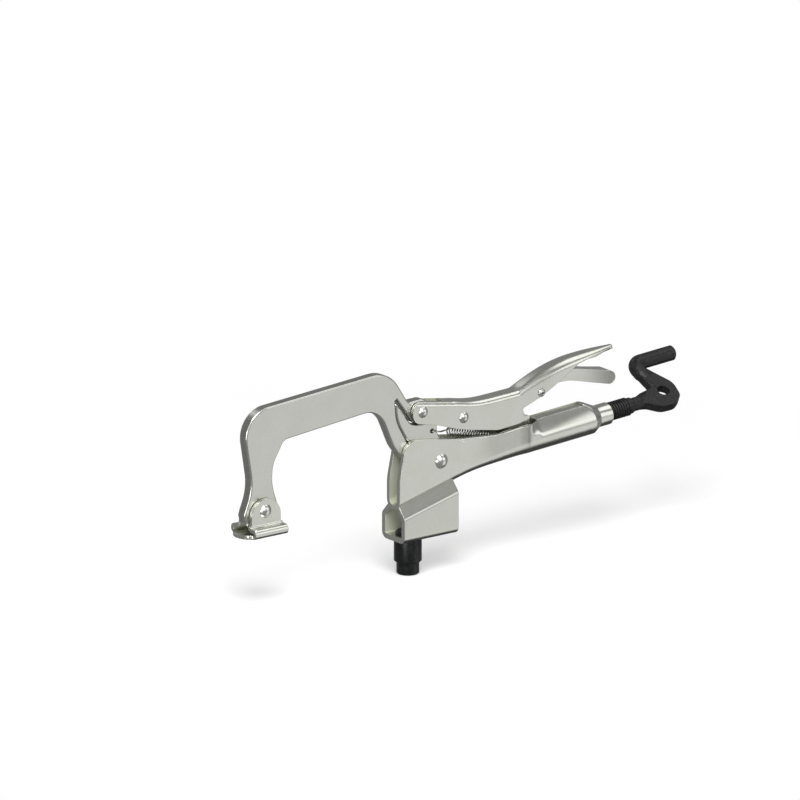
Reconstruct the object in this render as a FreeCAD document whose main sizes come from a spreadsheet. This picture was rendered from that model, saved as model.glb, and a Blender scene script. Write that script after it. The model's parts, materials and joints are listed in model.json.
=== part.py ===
import FreeCAD, Part
import Sketcher
import math
import os

from FreeCAD import Placement, Rotation, Vector

# Welding table fixture clamp: a lever-action C clamp that stands on a post in a 16 mm table hole.
# Origin: on the post's axis, in the plane of the table. +X runs from the pad to the crank handle,
# +Z is up, and every plate and folded sheet is symmetric about the plane Y = 0.

SIZES = [
    ("wall", 2.5, "sheet of the fixed body"),
    ("body_half", 6.1, "half width of the body's channel in front"),
    ("front_x", -10.4, "front end of body and base"),
    ("front_centre", 24.7, "height of the channel bend's centre at the front end"),
    ("rise", 0.256, "slope of the channel's underside, and of the base that carries it"),
    ("straight_end_x", 30.0, "where the straight front of the body ends"),
    ("front_top", 60.9, "height of the channel's edge, extended to the front end"),
    ("straight_end_top", 55.0, "height of the channel's edge where the straight front ends"),
    ("corner_top", 54.9, "height of the channel's edge where it starts to close"),
    ("front_lean_x", 5.0, "how far the front edge leans back at its top"),
    ("front_lean_z", 36.5, "height where the front edge starts to lean"),
    ("front_corner", 8.5, "rounding of the body's upper front corner"),
    ("corner_start_x", 82.0, "where the channel starts to close to a tube"),
    ("tube_start_x", 90.0, "where the closed tube starts"),
    ("tube_half", 9.5, "outer radius of the tube's underside"),
    ("roof_inset", 0.3, "how much less the tube's half width is where its roof starts"),
    ("roof_shoulder_z", 3.3, "height of that shoulder over the screw's axis"),
    ("roof_edge_z", 10.15, "height of the roof's edges over the screw's axis"),
    ("slot_half", 3.9, "half width of the slot between the roof's edges"),
    ("slot_end", 19.3, "end of the slot, before the collar's end"),
    ("neck_start", 19.4, "start of the neck's taper, before the collar's end"),
    ("neck_end", 8.8, "end of the neck's taper, before the collar's end"),
    ("collar_radius", 6.5, "threaded collar"),
    ("collar_drop", 0.5, "how far the collar's centre lies below the screw's axis"),
    ("axis_x", 143.3, "end of the collar"),
    ("axis_z", 49.42, "height of the screw's axis there"),
    ("axis_tilt", 3.9, "degrees by which the screw's axis rises to the rear"),
    ("base_sheet", 3.0, "sheet of the base"),
    ("base_half", 10.75, "half width of the base"),
    ("base_end_x", 28.3, "rear end of the base"),
    ("base_bend_z", 15.0, "height of the bend between side and roof at the front end"),
    ("base_bend_radius", 3.6, "outer radius of that bend"),
    ("base_foot_radius", 4.2, "outer radius of the bend between side and floor"),
    ("base_roof_angle", 47.9, "degrees between the roof's flanks and the floor"),
    ("post_radius", 8.0, "post, for a 16 mm table hole"),
    ("post_length", 13.6, "length of the post's full diameter"),
    ("pilot_radius", 6.55, "pilot under the post"),
    ("pilot_length", 7.2, "length of the pilot"),
    ("post_chamfer", 0.7, "chamfer of post and pilot"),
    ("spigot_radius", 6.0, "post's spigot in the base's floor"),
    ("head_radius", 7.2, "upset head of the spigot, inside the base"),
    ("head_height", 1.5, "height of that head"),
    ("plate_half", 3.3, "half thickness of arm and jaw plate"),
    ("plate_edge", 1.1, "rounding of the plates' edges"),
    ("main_x", 19.5, "main pivot"),
    ("main_z", 43.6, "main pivot"),
    ("main_shank", 3.5, "radius of the main rivet"),
    ("main_head", 4.45, "radius of its heads"),
    ("main_dome", 2.5, "height of its heads"),
    ("handle_x", 6.3, "pivot of the upper handle on the arm's lug"),
    ("handle_z", 75.0, "pivot of the upper handle on the arm's lug"),
    ("link_x", 35.5, "pivot of the toggle link in the upper handle"),
    ("link_z", 66.7, "pivot of the toggle link in the upper handle"),
    ("small_shank", 2.5, "radius of the handle and link rivets"),
    ("small_head", 3.35, "radius of their heads"),
    ("small_dome", 1.9, "height of their heads"),
    ("lever_x", 91.0, "pivot of the release lever in the upper handle"),
    ("lever_z", 71.8, "pivot of the release lever in the upper handle"),
    ("lever_shank", 1.6, "radius of the release lever's tubular rivet"),
    ("lever_head", 2.4, "radius of its rolled rims"),
    ("lever_dome", 1.2, "height of its rolled rims"),
    ("lever_hollow", 0.8, "radius of its hollow"),
    ("lever_grip", 6.75, "half width of the upper handle there"),
    ("running", 0.05, "radial clearance of every pivot and of the screw in its collar"),
    ("handle_sheet", 2.4, "sheet of the upper handle"),
    ("handle_half", 6.2, "half width of the upper handle"),
    ("handle_bend", 3.2, "outer radius of the bends between its web and walls"),
    ("web_slot_half", 3.8, "half width of the web's slot for the lug"),
    ("web_slot_end", 22.5, "rear end of that slot"),
    ("link_half", 3.0, "half thickness of the toggle link"),
    ("toe_x", 77.5, "centre of the link's rounded toe, which sets the tip of the screw"),
    ("toe_radius", 4.4, "rounding of the link's toe"),
    ("toe_gap", 1.9, "clearance from the toe to the tip of the screw"),
    ("lever_half", 3.4, "half width of the release lever"),
    ("lever_sheet", 1.5, "sheet of the release lever"),
    ("screw_radius", 5.5, "screw's thread"),
    ("shank_radius", 4.0, "plain shank behind the thread"),
    ("thread_end", 16.9, "end of the thread behind the collar"),
    ("crank_half", 2.5, "half thickness of the crank's flattened eye"),
    ("crank_radius", 4.45, "round bar of the crank"),
    ("crank_back", 2.2, "distance of the crank's arm ahead of the hole in its eye"),
    ("crank_throw", 29.25, "distance of the crank's grip from the screw's axis"),
    ("grip_end", 68.2, "end of the grip behind the collar"),
    ("crank_bend", 5.5, "bend radius of the bar between arm and grip"),
    ("crank_turn", 63.0, "degrees by which the crank is turned from upright"),
    ("eye_along", 41.3, "hole in the crank's eye, behind the collar"),
    ("eye_offset", 1.9, "hole in the crank's eye, off the axis"),
    ("eye_radius", 3.8, "hole in the crank's eye"),
    ("pad_x", -106.0, "pivot of the pad"),
    ("pad_z", 36.3, "pivot of the pad"),
    ("pad_shank", 2.6, "radius of the pad's rivet"),
    ("pad_head", 4.0, "radius of its heads"),
    ("pad_dome", 2.0, "height of its heads"),
    ("pad_sheet", 2.4, "sheet of the pad"),
    ("ear_gap", 0.5, "clearance between the arm and each ear"),
    ("ear_radius", 10.35, "rounding of the ears"),
    ("ear_centre_z", 33.0, "height of that rounding's centre"),
    ("pad_centre_x", -105.6, "middle of the pad's folded sides"),
    ("pad_length", 23.0, "length of the pad's folded sides"),
    ("ear_width", 20.6, "width of the ears"),
    ("pad_half", 12.0, "half width of the pad"),
    ("pad_bottom", 21.9, "underside of the pad"),
    ("hem_gap", 1.0, "space inside the folded hem"),
    ("plate_bulge", 4.9, "how far the pad's bottom bulges beyond its sides"),
    ("spring_coil", 1.95, "radius of the spring's coil to the middle of its wire"),
    ("spring_wire", 0.5, "radius of the spring's wire"),
    ("spring_pitch", 1.55, "distance from turn to turn"),
    ("spring_x", 29.0, "front end of the spring's coil"),
    ("spring_z", 58.4, "front end of the spring's coil"),
    ("spring_end_x", 56.5, "rear end of the spring's coil"),
    ("spring_end_z", 52.0, "rear end of the spring's coil"),
    ("hook_x", 14.8, "hole for the spring's hook in the jaw plate"),
    ("hook_z", 61.8, "hole for the spring's hook in the jaw plate"),
    ("hook_radius", 1.4, "hole for the spring's hook in the jaw plate"),
    ("anchor_x", 63.5, "pin that holds the spring's rear hook"),
    ("anchor_z", 46.5, "pin that holds the spring's rear hook"),
    ("anchor_radius", 1.5, "pin that holds the spring's rear hook"),
    ("anchor_half", 5.4, "half its length, which ends in blind holes in the body's walls"),
]

# The flaring middle of the body, from the straight front to the tube: for each station its place,
# half width, height of the bend's centre and height of the upper edge.
FLARE = [
    (39.4, 6.1, 37.3, 53.9),
    (48.5, 6.25, 39.0, 53.2),
    (57.6, 6.9, 40.7, 52.7),
    (66.7, 7.7, 42.4, 53.3),
    (75.8, 8.5, 44.0, 54.3),
]

# The upper handle's web: place and height of its top at each station of the nearly flat front,
# then place, height, half width, flat half width and bend height of the crowned grip.
WEB = [(38.0, 75.7), (46.0, 74.6), (54.0, 74.4), (65.0, 74.8)]
GRIP = [
    (82.0, 78.3, 6.3, 2.6, 3.6, 52.0),
    (90.0, 81.9, 6.5, 2.0, 4.2, 60.0),
    (98.0, 84.8, 6.7, 1.6, 4.5, 66.0),
    (107.0, 87.1, 6.7, 1.4, 4.6, 72.0),
    (117.0, 88.6, 6.3, 1.2, 4.4, 83.6),
    (127.0, 89.3, 5.3, 1.0, 3.4, 85.6),
    (137.0, 89.6, 3.7, 0.8, 2.6, 86.9),
    (145.5, 89.7, 2.0, 0.5, 1.9, 87.6),
]

doc = FreeCAD.newDocument("table_clamp")
sheet = doc.addObject("Spreadsheet::Sheet", "Sizes")


def fill_sheet():
    """Write each size with its note, and give its cell the size's name."""
    for row, (name, value, note) in enumerate(SIZES, start=1):
        sheet.set("A%d" % row, note)
        sheet.set("B%d" % row, str(value))
        sheet.setAlias("B%d" % row, name)
    doc.recompute()


fill_sheet()


def size(name):
    return float(sheet.get(name))


# Outlines

def corner_arc(before, corner, after, radius):
    """Ends and middle of the arc that rounds a corner of an outline."""
    back = (before - corner).normalize()
    ahead = (after - corner).normalize()
    half_angle = back.getAngle(ahead) / 2.0
    reach = radius / math.tan(half_angle)
    middle_way = (back + ahead).normalize()
    centre = corner + middle_way * (radius / math.sin(half_angle))
    start = corner + back * reach
    end = corner + ahead * reach
    return start, centre - middle_way * radius, end


def rounded_outline(points):
    """Edges of a closed outline in X and Y, from corners that each give their place and rounding."""
    corners = [Vector(x, y, 0) for x, y, radius in points]
    edges = []
    first_start = None
    last_end = None
    for index, (x, y, radius) in enumerate(points):
        corner = corners[index]
        if radius > 0:
            after = corners[(index + 1) % len(points)]
            start, middle, end = corner_arc(corners[index - 1], corner, after, radius)
        else:
            start, middle, end = corner, None, corner
        if last_end is not None and start.distanceToPoint(last_end) > 1e-6:
            edges.append(Part.LineSegment(last_end, start))
        if middle is not None:
            edges.append(Part.Arc(start, middle, end))
        if first_start is None:
            first_start = start
        last_end = end
    if last_end.distanceToPoint(first_start) > 1e-6:
        edges.append(Part.LineSegment(last_end, first_start))
    return edges


def side_face(points):
    """Face in the side view, from corners with X, Z and rounding."""
    flat = Part.Face(Part.Wire([curve.toShape() for curve in rounded_outline(points)]))
    flat.rotate(Vector(0, 0, 0), Vector(1, 0, 0), 90)
    return flat


def side_prism(points, half):
    """Solid between Y = -half and Y = half with that side view."""
    flat = side_face(points)
    flat.translate(Vector(0, half, 0))
    return flat.extrude(Vector(0, -2 * half, 0))


def cross_bar(x, z, radius, half):
    """Round bar across the clamp, for a pivot's hole."""
    return Part.makeCylinder(radius, 2 * half, Vector(x, -half, z), Vector(0, 1, 0))


# Document objects

def new_body(name):
    body = doc.addObject("PartDesign::Body", name)
    body.Label = name
    return body


def new_sketch(body, name, role, curves):
    """Sketch on one of the body's own planes."""
    sketch = body.newObject("Sketcher::SketchObject", name)
    plane = [item for item in body.Origin.OriginFeatures if item.Role == role][0]
    sketch.AttachmentSupport = [(plane, "")]
    sketch.MapMode = "FlatFace"
    sketch.addGeometry(curves)
    return sketch


def symmetric_pad(body, name, sketch, length):
    pad = body.newObject("PartDesign::Pad", name)
    pad.Profile = sketch
    pad.SideType = "Symmetric"
    pad.setExpression("Length", length)
    doc.recompute()
    return pad


def through_hole(body, name, x, z, radius):
    """Round hole across a plate, its radius driven by an expression."""
    circle = Part.Circle(Vector(x, z, 0), Vector(0, 0, 1), 1.0)
    sketch = new_sketch(body, name + "_sketch", "XZ_Plane", [circle])
    sketch.addConstraint(Sketcher.Constraint("Radius", 0, 1.0))
    sketch.setExpression("Constraints[0]", radius)
    hole = body.newObject("PartDesign::Pocket", name)
    hole.Profile = sketch
    hole.Type = "ThroughAll"
    hole.SideType = "Symmetric"
    doc.recompute()
    return hole


def shaped(name, shape):
    """Sub-part whose shape is computed from the sheet's values."""
    feature = doc.addObject("Part::Feature", name)
    feature.Label = name
    feature.Shape = shape
    return feature


# Screw's axis

def axis_frame(turn=0.0):
    """Frame at the collar's end: X along the screw's axis, turned about it by an angle."""
    lean = Rotation(Vector(0, 1, 0), -size("axis_tilt"))
    spin = Rotation(Vector(1, 0, 0), turn)
    return Placement(Vector(size("axis_x"), 0, size("axis_z")), lean * spin)


def axis_direction():
    return axis_frame().Rotation.multVec(Vector(1, 0, 0))


def axis_height(x):
    slope = math.tan(math.radians(size("axis_tilt")))
    return size("axis_z") + (x - size("axis_x")) * slope


def along_axis(x):
    """Distance behind the collar's end at which the axis passes X."""
    return (x - size("axis_x")) / math.cos(math.radians(size("axis_tilt")))


# Fixed body: one folded sheet that is a channel in front and closes to a tube behind

def trough_path(x, centre, radius, shoulder, tip):
    """Edges of one face of the sheet: down the right wall, round the bottom, up the left wall."""
    half_way = radius * math.sqrt(0.5)
    right = [Vector(x, y, z) for y, z in (tip, shoulder, (radius, centre))]
    left = [Vector(x, -point.y, point.z) for point in reversed(right)]
    bottom = Vector(x, 0, centre - radius)
    return [
        Part.LineSegment(right[0], right[1]).toShape(),
        Part.LineSegment(right[1], right[2]).toShape(),
        Part.Arc(right[2], Vector(x, half_way, centre - half_way), bottom).toShape(),
        Part.Arc(bottom, Vector(x, -half_way, centre - half_way), left[0]).toShape(),
        Part.LineSegment(left[0], left[1]).toShape(),
        Part.LineSegment(left[1], left[2]).toShape(),
    ]


def joined(outer, inner):
    """Closed wire of a sheet's section, from the edges of its outer and inner faces."""
    start = outer[0].firstVertex().Point
    end = outer[-1].lastVertex().Point
    inner_start = inner[0].firstVertex().Point
    inner_end = inner[-1].lastVertex().Point
    first_lip = Part.LineSegment(start, inner_start).toShape()
    second_lip = Part.LineSegment(end, inner_end).toShape()
    return Part.Wire(Part.__sortEdges__(outer + [second_lip] + inner + [first_lip]))


def channel_section(x, half, centre, top):
    inside = half - size("wall")
    shoulder = centre + size("roof_shoulder_z")
    outer = trough_path(x, centre, half, (half, shoulder), (half, top))
    inner = trough_path(x, centre, inside, (inside, shoulder), (inside, top))
    return joined(outer, inner)


def tube_paths(x):
    """Outer and inner face of the tube, whose flat roof leaves a slot."""
    centre = axis_height(x)
    edge_y, edge_z = size("slot_half"), size("roof_edge_z")
    shoulder_y, shoulder_z = size("tube_half") - size("roof_inset"), size("roof_shoulder_z")
    slope = (edge_z - shoulder_z) / (shoulder_y - edge_y)
    drop = size("wall") * math.hypot(1.0, slope)
    inside = size("tube_half") - size("wall")
    inner_shoulder_z = edge_z - slope * (inside - edge_y) - drop
    outer = trough_path(x, centre, size("tube_half"), (shoulder_y, centre + shoulder_z),
                        (edge_y, centre + edge_z))
    inner = trough_path(x, centre, inside, (inside, centre + inner_shoulder_z),
                        (edge_y, centre + edge_z - drop))
    return outer, inner


def closed_face(path):
    """Face inside one path, closed straight across its open top."""
    lid = Part.LineSegment(path[-1].lastVertex().Point, path[0].firstVertex().Point).toShape()
    return Part.Face(Part.Wire(Part.__sortEdges__(path + [lid])))


def bend_height(x):
    """Height of the centre of the channel's bottom bend along the straight front."""
    return size("front_centre") + size("rise") * (x - size("front_x"))


def channel_front():
    front, end = size("front_x"), size("straight_end_x")
    half = size("body_half")
    spare_edge = 1.5
    wires = [
        channel_section(front, half, bend_height(front), size("front_top") + spare_edge),
        channel_section(end, half, bend_height(end), size("straight_end_top")),
    ]
    shape = Part.makeLoft(wires, True, True)
    lean_x, lean_z = front + size("front_lean_x"), size("front_lean_z")
    drop = (size("front_top") - size("straight_end_top")) / (end - front)
    corner_z = size("front_top") - drop * (lean_x - front)
    far = 40.0
    outside = [
        (front - far, 0, 0),
        (front, 0, 0),
        (front, lean_z, 30.0),
        (lean_x, corner_z, size("front_corner")),
        (end, size("straight_end_top"), 0),
        (end, corner_z + far, 0),
        (front - far, corner_z + far, 0),
    ]
    return shape.cut(side_prism(outside, 2 * half))


def channel_middle():
    end = size("straight_end_x")
    corner = size("corner_start_x")
    wires = [channel_section(end, size("body_half"), bend_height(end), size("straight_end_top"))]
    for x, half, centre, top in FLARE:
        wires.append(channel_section(x, half, centre, top))
    wires.append(channel_section(corner, size("tube_half"), axis_height(corner), size("corner_top")))
    return Part.makeLoft(wires, True, False)


def closing_corner():
    """The short stretch in which the walls' upper strips fold in to make the tube's roof."""
    start = size("corner_start_x")
    first = channel_section(start, size("tube_half"), axis_height(start), size("corner_top"))
    second = joined(*tube_paths(size("tube_start_x")))
    return Part.makeLoft([first, second], True, True)


def tube_and_collar():
    start = size("tube_start_x")
    outer, inner = tube_paths(start)
    overlap = 4.0
    run = -size("neck_end") - overlap / 2 - along_axis(start)
    hollow_run = -size("slot_end") - along_axis(start)
    solid = closed_face(outer).extrude(axis_direction() * run)
    hollow = closed_face(inner).extrude(axis_direction() * hollow_run)
    clear_of_roof = 1.2
    widest = math.hypot(size("roof_edge_z"), size("slot_half")) + clear_of_roof
    collar = size("collar_radius")
    bevel = 0.5
    limit = [
        Vector(along_axis(start) - widest, 0, 0),
        Vector(along_axis(start) - widest, 0, widest),
        Vector(-size("neck_start"), 0, widest),
        Vector(-size("neck_end"), 0, collar),
        Vector(-bevel, 0, collar),
        Vector(0, 0, collar - bevel),
        Vector(0, 0, 0),
    ]
    envelope = Part.Face(Part.makePolygon(limit + limit[:1])).revolve(
        Vector(0, 0, 0), Vector(1, 0, 0), 360)
    lowered = axis_frame().multiply(Placement(Vector(0, 0, -size("collar_drop")), Rotation()))
    envelope.Placement = lowered
    ring = Part.makeCylinder(widest, size("neck_end") + overlap, Vector(-size("neck_end") - overlap, 0, 0),
                             Vector(1, 0, 0))
    ring.Placement = lowered.multiply(ring.Placement)
    turned = envelope.common(ring)
    shape = solid.common(envelope).fuse(turned)
    bore = Part.makeCylinder(size("screw_radius") + size("running"), size("slot_end") + 1.0,
                             Vector(-size("slot_end") - 0.5, 0, 0), Vector(1, 0, 0))
    bore.Placement = axis_frame().multiply(bore.Placement)
    slot = Part.makeBox(hollow_run, 2 * size("slot_half"), size("roof_edge_z"),
                        Vector(along_axis(start), -size("slot_half"), 1.0))
    slot.Placement = axis_frame().multiply(slot.Placement)
    return shape.cut(hollow).cut(bore).cut(slot)


def fixed_body():
    parts = [channel_middle(), closing_corner(), tube_and_collar()]
    shape = channel_front().fuse(parts)
    shape = shape.cut(cross_bar(size("main_x"), size("main_z"), size("main_shank"), 20.0))
    shape = shape.cut(cross_bar(size("anchor_x"), size("anchor_z"), size("anchor_radius"),
                                size("anchor_half")))
    return shaped("fixed_body", shape)


# Base: a house-shaped tube folded from one sheet, closed on top by the body's bottom bend

def lifted_face(x, points):
    """Face across the clamp at X, from corners with Y, Z and rounding."""
    flat = Part.Face(Part.Wire([curve.toShape() for curve in rounded_outline(points)]))
    flat.Placement = Placement(Vector(x, 0, 0), Rotation(Vector(1, 1, 1), 120))
    return flat


def base_outline(x, inset):
    """The house's outline at X: floor, sides and flanks, moved inwards by the sheet if inset."""
    lift = size("rise") * (x - size("front_x"))
    angle = math.radians(size("base_roof_angle"))
    half = size("base_half") - inset
    eaves = size("base_bend_z") + lift + inset * (math.tan(angle) - 1 / math.cos(angle))
    ridge = eaves + half * math.tan(angle)
    foot, bend = size("base_foot_radius") - inset, size("base_bend_radius") - inset
    return [(-half, inset, foot), (half, inset, foot), (half, eaves, bend), (0, ridge, 0),
            (-half, eaves, bend)]


def house_loft(inset, reach):
    front, end = size("front_x") - reach, size("base_end_x") + reach
    faces = [lifted_face(x, base_outline(x, inset)) for x in (front, end)]
    return Part.makeLoft([face.OuterWire for face in faces], True, True)


def body_bottom(reach):
    """The channel's outside, filled, along the base."""
    faces = []
    for x in (size("front_x") - reach, size("base_end_x") + reach):
        centre, half = bend_height(x), size("body_half")
        top = centre + 2 * half
        faces.append(closed_face(trough_path(x, centre, half, (half, centre + half), (half, top))))
    return Part.makeLoft([face.OuterWire for face in faces], True, True)


def base_bracket():
    shape = house_loft(0.0, 0.0).cut(house_loft(size("base_sheet"), 1.0))
    shape = shape.cut(body_bottom(1.0))
    spigot = Part.makeCylinder(size("spigot_radius"), 2 * size("base_sheet"),
                               Vector(0, 0, -size("base_sheet") / 2))
    shape = shape.cut(spigot)
    solids = sorted(shape.Solids, key=lambda solid: solid.Volume)
    return shaped("base_bracket", solids[-1])


# Post: turned, with a pilot below, riveted into the base's floor

def table_post():
    body = new_body("table_post")
    radius, pilot, bevel = size("post_radius"), size("pilot_radius"), size("post_chamfer")
    floor, head = size("base_sheet"), size("base_sheet") + size("head_height")
    foot = -size("post_length")
    end = foot - size("pilot_length")
    profile = [
        (0, head), (size("head_radius") - bevel, head), (size("head_radius"), head - bevel),
        (size("head_radius"), floor), (size("spigot_radius"), floor), (size("spigot_radius"), 0),
        (radius, 0), (radius, foot + bevel), (radius - bevel, foot), (pilot, foot),
        (pilot, end + bevel), (pilot - bevel, end), (0, end),
    ]
    points = [Vector(x, z, 0) for x, z in profile]
    curves = [Part.LineSegment(a, b) for a, b in zip(points, points[1:] + points[:1])]
    sketch = new_sketch(body, "post_profile", "XZ_Plane", curves)
    turned = body.newObject("PartDesign::Revolution", "post_turned")
    turned.Profile = sketch
    turned.ReferenceAxis = (sketch, ["V_Axis"])
    turned.Angle = 360
    doc.recompute()
    return body


# Rivets: a shank across the clamp with two domed heads

def rivet(name, x, z, shank, head, dome, grip):
    """Rivet whose sizes are the sheet's cells; grip is half the distance between its heads."""
    cell = "Sizes."
    ball = "((%s%s ^ 2 + %s%s ^ 2) / (2 * %s%s))" % (cell, head, cell, dome, cell, dome)
    bar = doc.addObject("Part::Cylinder", name + "_shank")
    bar.Placement = Placement(Vector(0, 0, 0), Rotation(Vector(1, 0, 0), -90))
    bar.setExpression("Radius", cell + shank)
    bar.setExpression("Height", "2 * (%s)" % grip)
    bar.setExpression("Placement.Base.x", cell + x)
    bar.setExpression("Placement.Base.y", "-(%s)" % grip)
    bar.setExpression("Placement.Base.z", cell + z)
    pieces = [bar]
    for side, turn in ((1, -90), (-1, 90)):
        cap = doc.addObject("Part::Sphere", name + "_head")
        cap.Placement = Placement(Vector(0, 0, 0), Rotation(Vector(1, 0, 0), turn))
        cap.setExpression("Radius", ball)
        cap.setExpression("Angle1", "asin(1 - %s%s / %s)" % (cell, dome, ball))
        cap.setExpression("Placement.Base.x", cell + x)
        cap.setExpression("Placement.Base.y", "%d * ((%s) + %s%s - %s)" % (side, grip, cell, dome, ball))
        cap.setExpression("Placement.Base.z", cell + z)
        pieces.append(cap)
    whole = doc.addObject("Part::MultiFuse", name)
    whole.Label = name
    whole.Shapes = pieces
    whole.Refine = True
    return whole


# Plates: the arm with its lug, the jaw plate that turns in the body, and the toggle link

ARM = [
    (-119.3, 34.3, 4), (-113.2, 50.0, 30), (-120.5, 95.1, 17), (-15.4, 102.5, 19),
    (-1.8, 81.4, 3), (13.7, 82.4, 7.1), (13.7, 67.6, 7.1), (2.3, 67.6, 7.4), (-10.4, 84.9, 0),
    (-11.45, 84.1, 0), (-10.45, 72.0, 25), (3.3, 47.5, 0), (-3.5, 46.0, 2), (-12.5, 56.3, 25),
    (-23.1, 81.2, 14), (-90.4, 74.9, 6), (-98.0, 62.0, 16), (-99.3, 51.0, 30), (-93.0, 32.0, 4),
    (-96.0, 27.6, 3), (-101.5, 26.2, 8), (-110.5, 26.2, 8), (-116.8, 28.2, 3),
]
JAW = [
    (-11.32, 83.7, 0.6), (0.83, 67.2, 8.2), (18.7, 67.2, 1.5), (18.7, 58.0, 8), (29.0, 51.5, 6),
    (29.0, 34.1, 9.4), (10.1, 34.1, 9.4), (3.9, 47.2, 0), (-10.33, 72.0, 25),
]
LINK = [
    (29.0, 63.3, 4.9), (32.1, 73.2, 4.9), (55.5, 66.0, 12), (66.5, 58.5, 10), (73.5, 51.3, 6),
    (81.9, 49.6, 4.3), (81.9, 40.8, 4.3), (73.1, 40.8, 4.3), (64.5, 52.5, 6), (59.0, 55.6, 10),
]


def flat_plate(name, outline, half, holes, rounding):
    """Plate with holes, its edges on both faces rounded."""
    body = new_body(name)
    sketch = new_sketch(body, name + "_outline", "XZ_Plane", rounded_outline(outline))
    pad = symmetric_pad(body, name + "_plate", sketch, "2 * Sizes." + half)
    last = pad
    if rounding:
        thickness = size(half)
        rims = []
        for number, edge in enumerate(pad.Shape.Edges, start=1):
            box = edge.BoundBox
            if box.YLength < 0.01 and abs(abs(box.YMax) - thickness) < 0.01:
                rims.append("Edge%d" % number)
        last = body.newObject("PartDesign::Fillet", name + "_edges")
        last.Base = (pad, rims)
        last.setExpression("Radius", rounding)
        doc.recompute()
    for index, (x, z, radius) in enumerate(holes):
        last = through_hole(body, "%s_hole_%d" % (name, index + 1), x, z, radius)
    body.Tip = last
    doc.recompute()
    return body


def clamp_arm():
    holes = [
        (size("handle_x"), size("handle_z"), "Sizes.small_shank + Sizes.running"),
        (size("pad_x"), size("pad_z"), "Sizes.pad_shank + Sizes.running"),
    ]
    return flat_plate("clamp_arm", ARM, "plate_half", holes, "Sizes.plate_edge")


def jaw_plate():
    holes = [
        (size("main_x"), size("main_z"), "Sizes.main_shank + Sizes.running"),
        (size("hook_x"), size("hook_z"), "Sizes.hook_radius"),
    ]
    return flat_plate("jaw_plate", JAW, "plate_half", holes, "Sizes.plate_edge")


def toggle_link():
    holes = [(size("link_x"), size("link_z"), "Sizes.small_shank + Sizes.running")]
    return flat_plate("toggle_link", LINK, "link_half", holes, "Sizes.plate_edge")


# Upper handle: a folded sheet, open below, with a crowned grip

HANDLE_SIDE = [
    (-0.9, 82.5, 6.7), (28.5, 77.45, 0), (28.5, 120.0, 0), (160.0, 120.0, 0), (160.0, 60.0, 0),
    (116.4, 60.0, 0), (116.4, 83.5, 0), (110.0, 80.0, 0), (100.0, 74.2, 30), (90.0, 69.2, 30),
    (77.5, 64.5, 0.6), (79.3, 60.3, 2.5), (86.5, 58.9, 1), (75.0, 56.1, 20), (60.0, 55.0, 12),
    (40.0, 58.6, 30), (30.0, 61.0, 20), (15.0, 66.0, 20), (-0.9, 69.3, 6.2),
]


def crown_section(x, top, half, flat, bend, low):
    """Closed section of the handle: walls, bends and web over a straight underside."""
    pull = 0.55
    edges = [
        Part.LineSegment(Vector(x, half, low), Vector(x, half, top - bend)).toShape(),
        Part.LineSegment(Vector(x, flat, top), Vector(x, -flat, top)).toShape(),
        Part.LineSegment(Vector(x, -half, top - bend), Vector(x, -half, low)).toShape(),
        Part.LineSegment(Vector(x, -half, low), Vector(x, half, low)).toShape(),
    ]
    for side in (1, -1):
        curve = Part.BezierCurve()
        curve.setPoles([
            Vector(x, side * half, top - bend),
            Vector(x, side * half, top - bend * (1 - pull)),
            Vector(x, side * (flat + (half - flat) * (1 - pull)), top),
            Vector(x, side * flat, top),
        ])
        edges.append(curve.toShape())
    return Part.Wire(Part.__sortEdges__(edges))


def crown_lofts(inset):
    """The handle's outside, or the space inside its sheet when inset by the sheet."""
    half, bend = size("handle_half"), size("handle_bend")
    flat = half - bend
    low = 50.0

    def plain(x, top):
        return x, top, half, flat, bend, low

    runs = [
        (True, [plain(-1.5, 82.6), plain(28.5, 77.4)]),
        (False, [plain(28.5, 77.4)] + [plain(x, top) for x, top in WEB] + [plain(76.0, 75.4)]),
        (False, [plain(76.0, 75.4)] + GRIP),
    ]
    solids = []
    for ruled, stations in runs:
        wires = []
        for x, top, wide, level, drop, underside in stations:
            share = (wide - inset) / wide
            if share > 0.3:
                wires.append(crown_section(x, top - inset, wide - inset, level * share,
                                           drop * share, underside - inset))
        solids.append(Part.makeLoft(wires, True, ruled))
    return solids[0].fuse(solids[1:])


def upper_handle():
    shape = crown_lofts(0.0).cut(crown_lofts(size("handle_sheet")))
    shape = shape.common(side_prism(HANDLE_SIDE, 2 * size("handle_half")))
    slot_half, spare = size("web_slot_half"), 10.0
    slot = Part.makeBox(size("web_slot_end") + spare, 2 * slot_half, 60.0,
                        Vector(-spare, -slot_half, 50.0))
    shape = shape.cut(slot)
    for x, z, radius in (("handle_x", "handle_z", "small_shank"), ("link_x", "link_z", "small_shank"),
                         ("lever_x", "lever_z", "lever_shank")):
        shape = shape.cut(cross_bar(size(x), size(z), size(radius), 20.0))
    solids = sorted(shape.Solids, key=lambda solid: solid.Volume)
    return shaped("upper_handle", solids[-1].removeSplitter())


# Release lever: a narrow folded sheet inside the upper handle

LEVER = [
    (69.6, 58.6, 1.2), (71.5, 68.0, 6), (83.5, 75.3, 5), (96.0, 79.3, 8), (117.0, 80.9, 14),
    (143.8, 75.4, 3.8), (145.8, 66.9, 3.8), (130.0, 70.4, 30), (114.0, 74.4, 20), (99.0, 75.0, 6),
    (93.0, 69.5, 3), (86.5, 69.2, 4), (77.3, 66.0, 3), (72.6, 57.8, 1.2),
]


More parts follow.
